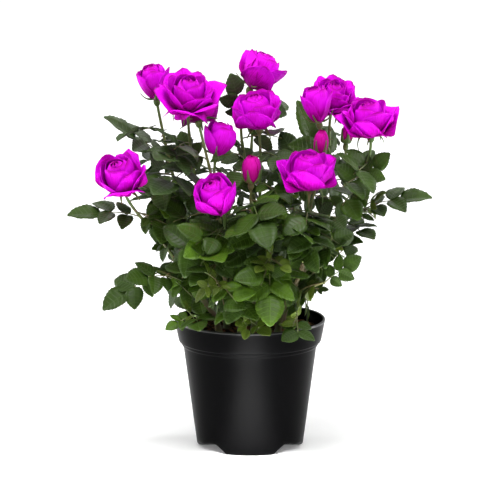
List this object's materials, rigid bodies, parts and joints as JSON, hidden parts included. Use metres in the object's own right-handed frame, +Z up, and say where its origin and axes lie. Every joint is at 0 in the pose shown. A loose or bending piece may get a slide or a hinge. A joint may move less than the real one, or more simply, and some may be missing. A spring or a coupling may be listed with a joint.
{
  "type": "potted rose bush",
  "caption": "Patio rose in full bloom, with leafy shoots on woody canes in a tapered plastic nursery pot with a stepped rim and a notched foot.",
  "frame": {"origin": "middle of the pot's flat underside", "axes": "+Z up, -Y towards the side that the picture shows, +X to its right"},
  "size_m": [0.3142, 0.2091, 0.3441],
  "materials": {
    "pot": "semi-gloss black",
    "compost": "crumbly",
    "canes": "green to brown bark",
    "shoots": "satin leaves",
    "petals": "soft magenta petals"
  },
  "bodies": {
    "root": {"pot": "pot", "compost": "compost", "cane_left": "canes", "cane_left_back": "canes", "cane_front": "canes", "cane_centre": "canes", "cane_right": "canes", "cane_right_back": "canes", "cane_back": "canes", "shoot_left": "shoots", "shoot_left_low": "shoots", "shoot_left_rim": "shoots", "shoot_top_left_bud": "shoots", "shoot_top_left": "shoots", "shoot_back_left": "shoots", "shoot_inner_left": "shoots", "shoot_centre_left": "shoots", "shoot_front": "shoots", "shoot_front_low": "shoots", "shoot_front_rim": "shoots", "shoot_front_middle": "shoots", "shoot_top": "shoots", "shoot_centre": "shoots", "shoot_front_bud": "shoots", "shoot_back": "shoots", "shoot_inner_right": "shoots", "shoot_right_front": "shoots", "shoot_right_bud": "shoots", "shoot_right_low": "shoots", "shoot_right_rim": "shoots", "shoot_top_right": "shoots", "shoot_far_right": "shoots", "shoot_right_mid": "shoots", "shoot_right_side": "shoots", "shoot_back_right": "shoots", "shoot_low_back": "shoots", "shoot_back_low_left": "shoots", "shoot_back_low_right": "shoots"}
  },
  "joints": []
}
